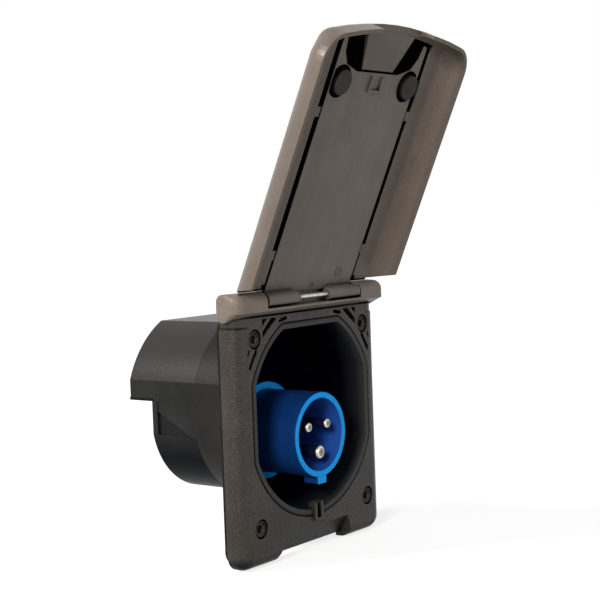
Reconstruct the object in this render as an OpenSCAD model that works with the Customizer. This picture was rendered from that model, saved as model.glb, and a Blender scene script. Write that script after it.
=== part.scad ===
// Flush mount appliance inlet: wall frame, bowl with a shrouded three-pole inlet, hinged lid, wiring chamber.
// Millimetres. The wall's face is the plane y = 0 and the front looks along -Y, with +Z up.
// The origin is the centre of the four wall screws.

/* [Wall frame] */
// Overall width of the frame
frame_w = 121; // [119:0.5:122]
// How far the frame reaches below the centre of the screws
frame_low = 67; // [65:0.5:67.5]
// How far the flat plate reaches above the centre of the screws
frame_high = 57.6; // [57:0.1:58]
// Depth of the frame from its face to the seal
frame_depth = 11; // [10:0.5:13]
// Radius of the rounded front edge and of the lower corners
frame_edge_r = 8; // [6:0.5:8]
// Thickness of the flat plate
plate_t = 3; // [2.6:0.1:3.4]
// Thickness of the frame's outer wall behind the rounded edge
skirt_t = 3.5; // [3.2:0.1:4.5]
// Thickness of the wall seal
seal_t = 2; // [1.5:0.25:3]
// Width between the wall screws
screw_pitch_x = 93; // [91:0.5:94]
// Height between the wall screws
screw_pitch_z = 94; // [92:0.5:95]
// Diameter of a wall screw hole
screw_hole_d = 4.5; // [3.5:0.25:5]
// Diameter of the recess round a wall screw's collar
screw_head_d = 10; // [9:0.5:10.5]
// Depth of the groove round a wall screw's collar
screw_head_depth = 6.4; // [3:0.2:7]
// Top of the rounded sides, where the narrower neck begins
neck_z = 53; // [52:0.25:54]
// Step in from the rounded side to the neck
neck_step = 1; // [0.6:0.1:1.4]
// Width of the finger scoop in the lower edge
scoop_w = 62; // [50:1:66]
// Height of the finger scoop's ramp above the lower edge
scoop_h = 13; // [10:0.5:14]
// Lift of the lower edge inside the scoop
scoop_lift = 2.7; // [1:0.1:3]
// Width of the catch's raised surround
catch_w = 7; // [6:0.25:8]
// Height of the catch's raised surround
catch_h = 9.4; // [8:0.2:10]
// How far the catch stands proud of the plate
catch_proud = 1.5; // [1:0.1:1.7]

/* [Bowl] */
// How far the bowl's round outline passes its flat sides
bowl_round = 3.5; // [2.5:0.25:4]
// Height of the outline's centre
bowl_axis_z = 5.2; // [4.5:0.1:6]
// Distance of the bowl's flat sides from the frame's edge
bowl_side_in = 10.5; // [10:0.25:11.5]
// Height of the bowl's flat top
bowl_top = 53; // [52:0.1:53.2]
// Thickness of the bowl's rim and side wall
bowl_wall = 3; // [2.4:0.1:3.2]
// Gap between the bowl's rim and the frame
bowl_gap = 0.5; // [0.3:0.05:0.6]
// Depth of the bowl from the plate's face to the front of its back wall
bowl_depth = 34.8; // [32:0.2:38]
// Thickness of the bowl's back wall
bowl_back_t = 2.2; // [2:0.1:3]
// Depth of the plain rim before the lower wall tapers in
bowl_rim_depth = 6; // [5.6:0.1:7]
// Radius of the lower wall at its inner end
bowl_low_r = 44; // [42.5:0.25:46]
// Width of the bowl's flange behind the plate
flange_w = 3.6; // [3.2:0.1:3.8]
// Thickness of the bowl's flange
flange_t = 2.5; // [2:0.1:3]

/* [Rear cover] */
// Length of the cover's lower chamber
chamber_len = 29.6; // [28:0.2:34]
// How far the hood reaches past the lower chamber
hood_reach = 15; // [14:0.5:18]
// Height of the hood's underside
hood_low_z = 13.7; // [13:0.1:16]
// Thickness of the cover's wall
cover_wall = 2.2; // [2:0.1:2.6]
// Radius of the lower chamber's two corners
low_r = 42; // [41:0.25:42.5]
// Half the distance between the corners' centres
low_offset = 9; // [8:0.25:9.5]
// Height of the corners' centres
low_axis_z = 5.5; // [5:0.1:6]
// Depth of the triangular recess in each side
recess_depth = 1.2; // [0.8:0.1:1.4]
// Bore of the cable gland
gland_bore_d = 9; // [6:0.5:10]
// Diameter of the gland's seat in the hood's floor
gland_seat_d = 12.4; // [12:0.1:12.6]

/* [Inlet] */
// Outer diameter of the shroud
shroud_d = 44; // [43:0.25:45]
// Thickness of the shroud's wall
shroud_wall = 3.3; // [3:0.1:3.6]
// Height of the shroud's axis
shroud_axis_z = -6.4; // [-7:0.1:-6]
// How far the shroud's rim stands proud of the plate
shroud_proud = 4.2; // [3:0.1:4.4]
// Radius of the shroud's flange
shroud_flange_r = 25.7; // [25:0.1:26.5]
// Thickness of the shroud's flange
shroud_flange_t = 2.6; // [2:0.1:3]
// Thickness of the seal behind the flange
inlet_seal_t = 0.8; // [0.5:0.1:1.2]
// Width of the key rib under the shroud
key_w = 7.5; // [6:0.25:8]
// How far the key rib stands out
key_h = 3.5; // [3:0.25:4.5]
// Length of the key rib
key_len = 9; // [8:0.5:14]
// Radius of the circle that the contact pins stand on
pin_circle_r = 9.25; // [9:0.05:9.5]
// Diameter of the phase and neutral pins
pin_d = 5; // [4.6:0.1:5.2]
// Diameter of the earth pin
earth_pin_d = 7; // [6.6:0.1:7.2]
// How far the phase and neutral tips stand back from the rim
pin_back = 1.2; // [1:0.1:6]
// How much further forward the earth pin's tip is
earth_lead = 1; // [0.5:0.1:1.2]
// Thickness of the contact carrier
carrier_t = 14; // [12:0.5:15]
// Length of a terminal barrel behind the carrier
terminal_len = 10; // [9:0.5:10.5]
// Diameter of a terminal barrel
terminal_d = 8; // [7.6:0.1:8.4]
// Thickness of the retaining ring
ring_t = 4; // [3:0.25:5]

/* [Hinge] */
// Distance of the hinge axis in front of the plate
hinge_ahead = 1.5; // [1:0.1:2]
// Height of the hinge axis
hinge_z = 65.5; // [65:0.1:66]
// Diameter of the hinge pin
hinge_pin_d = 2.5; // [2:0.1:3]
// Diameter of the hinge barrels
barrel_d = 6.4; // [6:0.1:6.6]
// Inner end of a barrel
barrel_in = 13.5; // [12:0.25:16]
// Outer end of a barrel
barrel_out = 39.3; // [38:0.1:39.6]
// How far the bracket passes the lid at each side
bracket_over = 0.3; // [0:0.1:1]
// Top of the hinge bracket
bracket_top = 70; // [69.5:0.1:71]
// How far the bracket stands proud of the plate
bracket_proud = 4.4; // [4:0.1:5]
// Radius of the bracket's rounded front edges and corners
bracket_r = 5; // [4:0.25:5.2]

/* [Lid] */
// How far the lid passes the frame at each side
lid_over = 2.5; // [2.3:0.1:3]
// How far the lid's free end passes the frame's lower edge
lid_past = 10.8; // [8:0.1:12.4]
// Radius of the free end's curve
lid_end_r = 250; // [220:5:300]
// Distance of the lid's outer face from the hinge axis
lid_face = 8; // [7.8:0.1:8.5]
// How far the rim reaches past the hinge axis towards the wall
lid_rim = 7; // [6:0.25:7.5]
// Thickness of the rim
rim_t = 2; // [1.6:0.1:2.1]
// Radius of the lid's rounded outer edge and free corners
lid_edge_r = 8; // [7:0.25:9]
// Radius of the lid's long side edges
lid_side_r = 14.4; // [11:0.2:14.4]
// Thickness of the shell under the liner
skin_t = 1.8; // [1.6:0.1:2]
// Width of the liner
liner_w = 73; // [72.6:0.1:73.4]
// Thickness of the liner
liner_t = 1.7; // [1.5:0.1:1.8]
// Distance of the liner's face from the hinge axis
liner_back = 3.7; // [3.6:0.05:3.9]
// Gap between the liner's edge and the shell
slot_w = 4.2; // [3.8:0.1:4.6]
// Diameter of a magnet
magnet_d = 12.6; // [12:0.2:14]
// How far a magnet stands proud of the liner
magnet_proud = 2.2; // [1.8:0.1:3.4]
// Distance of the magnets from the lid's free end
magnet_end = 30.8; // [29:0.1:32]
// Angle that the lid stands open from its closed place
lid_open = 156; // [0:1:170]

/* [Hidden] */
$fn = 72;

// Small amounts: an overlap that keeps cuts clean, a sliding fit and a seat clearance
cut = 1;
fit = 0.05;
seat = 0.3;

// Depths from the wall's face
frame_back_y = -seal_t;
plate_y = frame_back_y - frame_depth;
plate_back_y = plate_y + plate_t;
bowl_back_y = plate_y + bowl_depth;
cover_y = bowl_back_y + bowl_back_t;
chamber_end_y = cover_y + chamber_len;
hood_end_y = chamber_end_y + hood_reach;

// Frame
frame_half = frame_w / 2;
lid_len = hinge_z + frame_low + lid_past;
bowl_half_w = frame_half - bowl_side_in;
bowl_r = bowl_half_w + bowl_round;
cavity_half = frame_half - skirt_t;
cavity_top = bowl_top + 1.8;
boss_r = screw_head_d / 2 + 1;
collar_r = 3.7;
collar_back = 4;
scoop_top_z = -frame_low + scoop_h;
scoop_bottom_z = -frame_low + scoop_lift;
scoop_flare = 4;
catch_slot_w = catch_w - 3.6;
catch_rise = 6.6;
catch_top_z = bowl_axis_z - bowl_r + catch_rise;
catch_low_z = catch_top_z - catch_h;
catch_wall = 1.2;
catch_floor = 0.8;
tongue_half = 38;
tongue_drop = 5;
tongue_top = bracket_top - tongue_drop;
tongue_reach = 5.2;
tongue_front_y = frame_back_y - tongue_reach;
tongue_back_y = frame_back_y - 2.3;
pocket_x = 40.3;
pocket_leg = 3.9;
band_low_z = 46.9;
band_w = 3.3;
band_in_x = 29;
lane_out = 4.7;
lane_angles = [29, 38];
dash_x = [21, 26.3];
dash_w = 1.8;
tick_x = 51.2;
tick_z = [39.8, 41.7];
tick_w = 1.3;
hollow_r = 4;
gasket_in = 0.8;
gasket_r = 6;
rib_x = 18;
rib_t = 2;
rib_rise = 3.2;
scoop_margin = 3;
scoop_sink = 2;
keeper_r = 4.5;
keeper_t = 1.5;
slot_rib = 0.8;
magnet_x = liner_w / 2 - slot_rib - magnet_d / 2 - fit;
keeper_out = 2.15;
seal_clear = 1;
keeper_x = magnet_x + keeper_out;
keeper_below = 3.5;
keeper_z = hinge_z - lid_len + magnet_end - keeper_below;

// Bowl
rim_end_y = plate_y + bowl_rim_depth;
flange_y = plate_back_y;
bowl_screw_r = 1.1;
bowl_screw_grip = 2;
bowl_head_r = 1.65;
bowl_head_t = 1.2;
bowl_screw_spread = 24;
bowl_screw_up = 14;
bowl_screw_down = 12;
bowl_screw_spots = [
  for (side = [-1, 1], up = [bowl_screw_up, -bowl_screw_down])
    [side * (bowl_half_w + flange_w / 2), bowl_axis_z + up],
  for (side = [-1, 1]) [side * (bowl_r + flange_w / 2) * sin(bowl_screw_spread),
                        bowl_axis_z - (bowl_r + flange_w / 2) * cos(bowl_screw_spread)]
];

// Rear cover
cover_screw_r = 1.5;
cover_boss_r = 4.2;
cover_screw_up = 16;
cover_boss_len = 16;
cover_screw_len = 12;
cover_head_r = 2.6;
cover_head_t = 2;
cover_screw_in = bowl_wall + cover_head_r + seat;
cover_screw_spots = [
  for (side = [-1, 1]) [side * (bowl_half_w - cover_screw_in), bowl_axis_z + cover_screw_up],
  for (side = [-1, 1]) [side * (low_offset + (low_r - cover_screw_in) * sin(45)),
                        low_axis_z - (low_r - cover_screw_in) * cos(45)]
];
gland_y = chamber_end_y + (hood_reach - cover_wall) / 2;
recess_end = 3.4;
recess_top = 3.3;
recess_low = 9.2;
recess_tail = 10.4;
hood_bead = 0.5;
hood_bead_h = 1.6;
gland_lip = 1.2;
gland_groove = 1.2;

// Inlet
shroud_r = shroud_d / 2;
shroud_bore_r = shroud_r - shroud_wall;
shroud_front_y = plate_y - shroud_proud;
flange_back_y = bowl_back_y - inlet_seal_t;
flange_front_y = flange_back_y - shroud_flange_t;
spigot_r = shroud_r - 0.3;
spigot_past = 6;
spigot_end_y = cover_y + ring_t + spigot_past;
carrier_y = bowl_back_y;
carrier_lip_t = 2;
carrier_lip = 1.2;
carrier_r = shroud_bore_r - fit;
carrier_end_y = carrier_y + carrier_t;
terminal_end_y = carrier_end_y + terminal_len;
wire_hole_r = 1.8;
wire_hole_len = 6;
terminal_screw_r = 1.5;
terminal_screw_out = 1.6;
terminal_screw_in = 0.6;
terminal_turns = [150, 30, 270];
shank_step = 0.4;
rim_round = 0.8;
terminal_screw_y = carrier_end_y + terminal_len * 0.55;
pin_spots = [
  [-pin_circle_r * cos(30), shroud_axis_z + pin_circle_r * sin(30)],
  [pin_circle_r * cos(30), shroud_axis_z + pin_circle_r * sin(30)],
  [0, shroud_axis_z - pin_circle_r]
];
ring_r = shroud_flange_r + 1.4;
ring_notches = 6;
notch_size = [2, 4];

// Hinge and lid, with the lid drawn closed and then swung open about the hinge axis
hinge_y = plate_y - hinge_ahead;
hinge_pin_past = 10;
hinge_pin_half = barrel_out + hinge_pin_past;
lid_half = frame_half + lid_over;
bracket_half = lid_half + bracket_over;
bracket_front_y = plate_y - bracket_proud;
barrel_side_gap = 1.2;
bracket_gap_half = barrel_out + barrel_side_gap;
bracket_clear = 2.9;
bracket_low_front = frame_high + bracket_clear;
bracket_lap = 1.6;
bracket_low_back = frame_high - bracket_lap;
bracket_back_r = 4;
bracket_back_in = 1.5;
bracket_wall = 2;
bracket_end_wall = 3;
bracket_seat = 4;
barrel_under = 0.6;
recess_floor_z = hinge_z - barrel_d / 2 - barrel_under;
barrel_behind = 5.5;
recess_back_y = hinge_y + barrel_behind;
lip_step = 0.4;
lip_front_y = hinge_y - liner_back + lip_step;
bracket_screw_x = 25;
bracket_screw_z = frame_high + 3.4;
bracket_screw_r = 1.4;
bracket_head_r = 2.5;
bracket_head_t = 1.2;

face_y = hinge_y - lid_face;
rim_y = hinge_y + lid_rim;
liner_y = hinge_y - liner_back;
liner_half = liner_w / 2;
pocket_half = liner_half + slot_w;
skin_y = face_y + skin_t;
inner_side_r = min(lid_side_r - rim_t, rim_y + cut - liner_y - seat);
heel = 2.6;
heel_start = 2.8;
heel_len = 4.5;
heel_in = 1.1;
heel_t = 0.5;
heel_side = 8.5;
wing_slope = 0.53;
slice = 0.05;
end_steps = 4;
end_wall = 4.8;
magnet_along = lid_len - magnet_end;
pad_len = 24.3;
pad_start = lid_len - pad_len;
pad_half_in = 13.5;
pad_half_out = 22.5;
pad_rise = 2.8;
pad_t = 1.9;
notch_half_in = 18;
notch_bends = [[28, 2.2], [32.2, 8]];
notch_half_out = 34.3;
magnet_ring = 2;
magnet_hole_r = magnet_d / 2 + magnet_ring;
end_gap = 2;
liner_start = 1.2;
barrel_web = 1.4;
pin_play = 1.5 * fit;
stub_gap = 1;
ledge_start = 7;
ledge_gap = 1.9;
clip_near = 20;
clip_far = 49;
clip_len = 5;
clip_gap = 1.1;
pad_ramp = 6;
guide_w = 1.1;
guide_h = 1.6;
guide_side = 0.5;
guide_half = catch_w / 2 + guide_side;
guide_len = 8;

// Fills from y0 to y1 the outline that is drawn in x and z
module slab(y0, y1) {
  translate([0, y1, 0]) rotate([90, 0, 0]) linear_extrude(y1 - y0) children();
}

// Fills from x0 to x1 the outline that is drawn in y and z
module bar(x0, x1) {
  translate([x0, 0, 0]) rotate([90, 0, 90]) linear_extrude(x1 - x0) children();
}

// A round rod along Y, straight or tapered
module rod_y(x, z, y0, y1, r0, r1 = undef) {
  translate([x, y0, z]) rotate([-90, 0, 0]) cylinder(h = y1 - y0, r1 = r0, r2 = is_undef(r1) ? r0 : r1);
}

// A round rod along X
module rod_x(y, z, x0, x1, r) {
  translate([x0, y, z]) rotate([0, 90, 0]) cylinder(h = x1 - x0, r = r);
}

// A flat outline with blunt tapered ends, w wide, between two points
module capsule(p, q, w) {
  u = (q - p) / norm(q - p) * w / 2;
  n = [-u[1], u[0]];
  polygon([p + n, q + n, q + u + n / 2, q + u - n / 2, q - n, p - n, p - u - n / 2, p - u + n / 2]);
}

// A rectangle with round corners
module round_box(x0, z0, x1, z1, r) {
  translate([x0 + r, z0]) square([x1 - x0 - 2 * r, z1 - z0]);
  translate([x0, z0 + r]) square([x1 - x0, z1 - z0 - 2 * r]);
  for (x = [x0 + r, x1 - r], z = [z0 + r, z1 - r]) translate([x, z]) circle(r);
}

// The section of a rounded edge: r out from its centre line, from its face at y0 to y1
module edge_section(r, y0, y1) {
  intersection() {
    translate([0, y0 + r]) circle(r);
    translate([0, y0]) square([r, r]);
  }
  translate([0, y0 + r]) square([r, y1 - y0 - r]);
}

// Turns a section, drawn as distance out and y, about a line along Y through x, z.
// The sweep starts along +X and goes towards -Z.
module turned(x, z, start, sweep) {
  translate([x, 0, z]) rotate([-90, 0, 0]) rotate([0, 0, start]) rotate_extrude(angle = sweep) children();
}

// The bowl's outline, d larger all round
module bowl_outline(d = 0) {
  intersection() {
    translate([0, bowl_axis_z]) circle(bowl_r + d, $fn = 144);
    translate([-bowl_half_w - d, -2 * bowl_r]) square([2 * (bowl_half_w + d), 2 * bowl_r + bowl_top + d]);
  }
}

// The part of an outline above the height z
module above(z) {
  intersection() {
    children();
    translate([-2 * frame_w, z]) square([4 * frame_w, 2 * frame_w]);
  }
}

// The lower chamber's outline, d larger all round
module low_outline(d = 0) {
  intersection() {
    union() {
      for (side = [-1, 1]) translate([side * low_offset, low_axis_z]) circle(low_r + d, $fn = 144);
      translate([-low_offset, low_axis_z - low_r - d]) square([2 * low_offset, low_r + d]);
    }
    translate([-bowl_half_w - d, low_axis_z - 2 * low_r]) square([2 * (bowl_half_w + d), 2 * low_r]);
  }
}

// The four wall screws' places
module at_wall_screws() {
  for (x = [-1, 1], z = [-1, 1]) translate([x * screw_pitch_x / 2, z * screw_pitch_z / 2]) children();
}

// The frame's straight part from z0 to z1: a flat face with a rounded edge at each side
module frame_sides(half, z0, z1) {
  core = half - frame_edge_r;
  slab(plate_y, frame_back_y) translate([-core, z0]) square([2 * core, z1 - z0]);
  for (side = [0, 1]) mirror([side, 0, 0])
    translate([core, 0, z0]) linear_extrude(z1 - z0) edge_section(frame_edge_r, plate_y, frame_back_y);
}

// The frame's rounded lower edge and lower corners
module frame_foot() {
  r = frame_edge_r;
  core = frame_half - r;
  low = -frame_low + r;
  translate([-core, 0, low]) rotate([0, 90, 0]) linear_extrude(2 * core)
    edge_section(r, plate_y, frame_back_y);
  turned(core, low, 0, 90) edge_section(r, plate_y, frame_back_y);
  turned(-core, low, 90, 90) edge_section(r, plate_y, frame_back_y);
}

// Dark pockets that lighten each upper corner beside the opening
module corner_pockets() {
  pocket_top = frame_high - 1.1;
  lane_r = bowl_r + lane_out;
  for (side = [0, 1]) mirror([side, 0]) {
    polygon([[pocket_x, pocket_top], [pocket_x - pocket_leg, pocket_top],
             [pocket_x, pocket_top - pocket_leg]]);
    polygon([[pocket_x, band_low_z + band_w], [pocket_x, band_low_z], [band_in_x, pocket_top - 0.8],
             [band_in_x + 0.8, pocket_top], [band_in_x + 0.8 + band_w, pocket_top]]);
    capsule([dash_x[1], pocket_top - dash_w], [dash_x[0], pocket_top - dash_w / 2], dash_w);
    capsule([lane_r * cos(lane_angles[1]), bowl_axis_z + lane_r * sin(lane_angles[1])],
            [lane_r * cos(lane_angles[0]), bowl_axis_z + lane_r * sin(lane_angles[0])], 2.2);
    capsule([tick_x, tick_z[1]], [tick_x + dash_w / 2, tick_z[0]], tick_w);
  }
}

// The scoop under the lid's free end: a ramp that falls back to a lifted lower edge
module finger_scoop() {
  intersection() {
    slab(plate_y - cut, frame_back_y + cut)
      polygon([[-scoop_w / 2 + scoop_flare, scoop_top_z], [scoop_w / 2 - scoop_flare, scoop_top_z],
               [scoop_w / 2, scoop_bottom_z], [scoop_w / 2, -frame_low - cut],
               [-scoop_w / 2, -frame_low - cut], [-scoop_w / 2, scoop_bottom_z]]);
    bar(-frame_w, frame_w)
      polygon([[plate_y - cut, scoop_top_z], [plate_y, scoop_top_z],
               [plate_y + frame_edge_r, scoop_bottom_z], [frame_back_y + cut, scoop_bottom_z],
               [frame_back_y + cut, -frame_low - cut], [plate_y - cut, -frame_low - cut]]);
  }
}

// Hollow back of the frame: everything inside the skirt except the screw bosses and the scoop's wall
module frame_hollow() {
  difference() {
    round_box(-cavity_half, -frame_low + skirt_t, cavity_half, cavity_top, hollow_r);
    at_wall_screws() circle(boss_r);
    translate([-scoop_w / 2 - scoop_margin, -frame_low])
      square([scoop_w + 2 * scoop_margin, scoop_h - scoop_sink]);
    for (side = [-1, 1]) {
      translate([side * rib_x - rib_t / 2, -frame_low]) square([rib_t, scoop_h + rib_rise]);
    }
  }
}

// A rod on the axis of one of the bracket's screws
module bracket_screw_rod(side, y0, y1, r) {
  rod_y(side * bracket_screw_x, bracket_screw_z, y0, y1, r);
}

module front_frame() {
  color("#4e4640") difference() {
    union() {
      frame_foot();
      frame_sides(frame_half, -frame_low + frame_edge_r, neck_z);
      frame_sides(frame_half - neck_step, neck_z - cut, frame_high);
      slab(tongue_front_y, tongue_back_y)
        translate([-tongue_half, frame_high - cut]) square([2 * tongue_half, tongue_top - frame_high + cut]);
    }
    slab(plate_y - cut, frame_back_y + cut) bowl_outline(bowl_gap);
    slab(plate_back_y, frame_back_y + cut) frame_hollow();
    slab(plate_y - cut, frame_back_y + cut) at_wall_screws() circle(d = screw_hole_d);
    slab(plate_y - cut, plate_y + collar_back) at_wall_screws() circle(d = screw_head_d);
    slab(plate_y, plate_y + screw_head_depth) at_wall_screws() difference() {
      circle(d = screw_head_d);
      circle(collar_r);
    }
    slab(plate_y - cut, plate_back_y + cut) corner_pockets();
    finger_scoop();
    slab(plate_y - cut, plate_back_y + cut) translate([-catch_w / 2, catch_low_z]) square([catch_w, catch_h]);
    for (side = [-1, 1]) {
      rod_y(side * keeper_x, keeper_z, plate_back_y - keeper_t, plate_back_y + cut, keeper_r + fit);
      bracket_screw_rod(side, tongue_front_y - cut, tongue_back_y + cut, bracket_screw_r + fit);
    }
    for (spot = bowl_screw_spots) {
      rod_y(spot[0], spot[1], plate_back_y - bowl_screw_grip - fit, plate_back_y + cut, bowl_screw_r + fit);
    }
  }
  color("#4e4640") frame_catch();
}

// Raised surround with a slot, at the bottom of the opening, that the lid's guide ribs come down over
module frame_catch() {
  difference() {
    slab(plate_y - catch_proud, plate_back_y)
      translate([-catch_w / 2 - fit, catch_low_z - fit]) square([catch_w + 2 * fit, catch_h + fit]);
    slab(plate_y - catch_proud - cut, plate_back_y - catch_floor)
      translate([-catch_slot_w / 2, catch_low_z + catch_wall]) square([catch_slot_w, catch_h]);
  }
}

module wall_gasket() {
  color("#1c1c1c") slab(-seal_t, 0) difference() {
    round_box(-frame_half + gasket_in, scoop_bottom_z + gasket_in,
              frame_half - gasket_in, frame_high - seat, gasket_r);
    bowl_outline(flange_w + seal_clear);
    at_wall_screws() circle(d = screw_hole_d);
  }
}

module keeper_plate(side) {
  color("#8d9093") rod_y(side * keeper_x, keeper_z, plate_back_y - keeper_t, plate_back_y, keeper_r);
}

module keeper_plate_left() { keeper_plate(-1); }
module keeper_plate_right() { keeper_plate(1); }

// The bowl's form grown by d, from y0 to y1: flat-sided above, tapering to the lower chamber's outline below
module bowl_form(d, y0, y1) {
  slab(y0, rim_end_y) bowl_outline(d);
  slab(y0, y1) above(bowl_axis_z) bowl_outline(d);
  slab(rim_end_y, y1) low_outline(d);
  intersection() {
    rod_y(0, bowl_axis_z, rim_end_y, bowl_back_y, bowl_r + d, bowl_low_r + d);
    slab(y0, y1) translate([-bowl_half_w - d, bowl_axis_z - 2 * bowl_r])
      square([2 * (bowl_half_w + d), 2 * bowl_r]);
  }
}

module bowl() {
  color("#26282a") difference() {
    union() {
      bowl_form(0, plate_y, cover_y);
      slab(flange_y, flange_y + flange_t) difference() {
        bowl_outline(flange_w);
        at_wall_screws() circle(boss_r + seat);
        translate([-frame_w, cavity_top - seat]) square([2 * frame_w, frame_w]);
      }
    }
    bowl_form(-bowl_wall, plate_y - cut, bowl_back_y);
    slab(plate_y - cut, plate_back_y + seat)
      translate([-catch_w / 2 - seat, catch_top_z - 2 * catch_h])
        square([catch_w + 2 * seat, 2 * catch_h + seat]);
    rod_y(0, shroud_axis_z, bowl_back_y - cut, cover_y + cut, spigot_r + seat);
    for (spot = cover_screw_spots) {
      rod_y(spot[0], spot[1], bowl_back_y - cut, cover_y + cut, cover_screw_r + fit);
    }
    for (spot = bowl_screw_spots) {
      rod_y(spot[0], spot[1], flange_y - cut, flange_y + flange_t + cut, bowl_screw_r + fit);
    }
  }
}

module bowl_screws() {
  color("#9a9c9e") for (spot = bowl_screw_spots) {
    rod_y(spot[0], spot[1], plate_back_y - bowl_screw_grip, flange_y + flange_t + fit, bowl_screw_r);
    rod_y(spot[0], spot[1], flange_y + flange_t, flange_y + flange_t + bowl_head_t, bowl_head_r);
  }
}

// One of the two triangular recesses in the chamber's sides
module side_recess() {
  bar(bowl_half_w - recess_depth, bowl_half_w + cut)
    polygon([[chamber_end_y - recess_end, low_axis_z + recess_top],
             [chamber_end_y - recess_end, low_axis_z - recess_low], [cover_y + 1, low_axis_z - recess_tail]]);
}

module rear_cover() {
  color("#2a2c2d") difference() {
    union() {
      slab(cover_y, hood_end_y) above(hood_low_z) bowl_outline();
      slab(cover_y, chamber_end_y) {
        low_outline();
        above(bowl_axis_z) bowl_outline();
      }
      slab(chamber_end_y, hood_end_y) intersection() {
        above(hood_low_z) bowl_outline(hood_bead);
        translate([-frame_w, 0]) square([2 * frame_w, hood_low_z + hood_bead_h]);
      }
    }
    difference() {
      union() {
        slab(cover_y - cut, hood_end_y - cover_wall) above(hood_low_z + cover_wall) bowl_outline(-cover_wall);
        slab(cover_y - cut, chamber_end_y - cover_wall) {
          low_outline(-cover_wall);
          above(bowl_axis_z) bowl_outline(-cover_wall);
        }
      }
      for (spot = cover_screw_spots) rod_y(spot[0], spot[1], cover_y, cover_y + cover_boss_len, cover_boss_r);
    }
    for (side = [0, 1]) mirror([side, 0, 0]) side_recess();
    for (spot = cover_screw_spots) {
      rod_y(spot[0], spot[1], cover_y - cut, cover_y + cover_screw_len, cover_screw_r + fit);
    }
    translate([0, gland_y, hood_low_z - cut])
      cylinder(h = cover_wall + 2 * cut, r = gland_seat_d / 2 - gland_groove + fit);
  }
}

module cover_screws() {
  color("#9a9c9e") for (spot = cover_screw_spots) {
    rod_y(spot[0], spot[1], bowl_back_y - fit, cover_y + cover_screw_len - seat, cover_screw_r);
    rod_y(spot[0], spot[1], bowl_back_y - cover_head_t, bowl_back_y, cover_head_r);
  }
}

// Rubber grommet in the hood's floor, with a groove that holds the floor's edge
module cable_gland() {
  outer = gland_seat_d / 2;
  neck = outer - gland_groove;
  color("#191919") translate([0, gland_y, hood_low_z]) rotate_extrude() difference() {
    union() {
      translate([0, -gland_lip]) square([outer, gland_lip]);
      translate([0, -fit]) square([neck, cover_wall + 2 * fit]);
      translate([0, cover_wall]) square([outer, gland_lip]);
    }
    translate([0, -2 * gland_lip]) square([gland_bore_d / 2, cover_wall + 4 * gland_lip]);
  }
}

// Tube, flange and spigot of the inlet, turned about its own axis
module shroud_section() {
  round_y = shroud_front_y + rim_round;
  translate([shroud_bore_r, round_y]) square([shroud_wall, flange_front_y - shroud_front_y]);
  translate([shroud_bore_r + rim_round, shroud_front_y]) square([shroud_wall - 2 * rim_round, 2]);
  for (r = [shroud_bore_r + rim_round, shroud_r - rim_round]) translate([r, round_y]) circle(rim_round);
  translate([shroud_bore_r, flange_front_y]) square([shroud_flange_r - shroud_bore_r, shroud_flange_t]);
  translate([shroud_bore_r, flange_back_y - cut])
    square([spigot_r - shroud_bore_r, spigot_end_y - flange_back_y + cut]);
  translate([shroud_bore_r - carrier_lip, carrier_y - carrier_lip_t])
    square([carrier_lip + cut, carrier_lip_t]);
}

module inlet_shroud() {
  key_low = shroud_axis_z - shroud_r - key_h;
  color("#1f4fb0") {
    turned(0, shroud_axis_z, 0, 360) shroud_section();
    slab(shroud_front_y + rim_round / 2, shroud_front_y + key_len) difference() {
      round_box(-key_w / 2, key_low, key_w / 2, shroud_axis_z, rim_round);
      translate([0, shroud_axis_z]) circle(shroud_bore_r + cut);
    }
  }
}

module inlet_gasket() {
  color("#191919") slab(flange_back_y, bowl_back_y) translate([0, shroud_axis_z]) difference() {
    circle(shroud_flange_r);
    circle(spigot_r + seat);
  }
}

module retaining_ring() {
  color("#1b1d1f") slab(cover_y, cover_y + ring_t) translate([0, shroud_axis_z]) difference() {
    circle(ring_r);
    circle(spigot_r + fit);
    for (turn = [0 : ring_notches - 1]) {
      rotate(turn * 360 / ring_notches) translate([ring_r, 0]) square(notch_size, center = true);
    }
  }
}

module contact_carrier() {
  color("#1a2f78") difference() {
    union() {
      rod_y(0, shroud_axis_z, carrier_y, carrier_end_y, carrier_r);
      slab(carrier_y - carrier_lip_t, carrier_y + cut) translate([0, shroud_axis_z])
        circle(carrier_r - carrier_lip - seat);
    }
    for (i = [0 : 2]) {
      rod_y(pin_spots[i][0], pin_spots[i][1], carrier_y - 2 * carrier_lip_t, carrier_end_y + cut,
            (i == 2 ? earth_pin_d : pin_d) / 2 + shank_step + fit);
    }
  }
}

// A contact pin with a rounded tip and a terminal barrel behind the carrier
module contact_pin(i, d, tip_y) {
  x = pin_spots[i][0];
  z = pin_spots[i][1];
  tip = d / 5;
  color("#c9c2b0") difference() {
    union() {
      turned(x, z, 0, 360) {
        intersection() {
          translate([d / 2 - tip, tip_y + tip]) circle(tip);
          translate([0, tip_y]) square(d);
        }
        translate([0, tip_y]) square([d / 2 - tip, tip + cut]);
        translate([0, tip_y + tip]) square([d / 2, carrier_end_y - tip_y - tip]);
        translate([0, carrier_y - carrier_lip_t]) square([d / 2 + shank_step, carrier_t + carrier_lip_t]);
      }
      rod_y(x, z, carrier_end_y, terminal_end_y, terminal_d / 2);
    }
    rod_y(x, z, terminal_end_y - wire_hole_len, terminal_end_y + cut, wire_hole_r);
    terminal_bore(x, z, terminal_turns[i], terminal_screw_r + fit, 0, terminal_d);
  }
}

// A bore or rod that runs outwards from a terminal's axis, at out degrees from +X
module terminal_bore(x, z, out, r, from, to) {
  translate([x, terminal_screw_y, z]) rotate([0, -out, 0]) translate([from, 0, 0]) rotate([0, 90, 0])
    cylinder(h = to - from, r = r);
}

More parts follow.
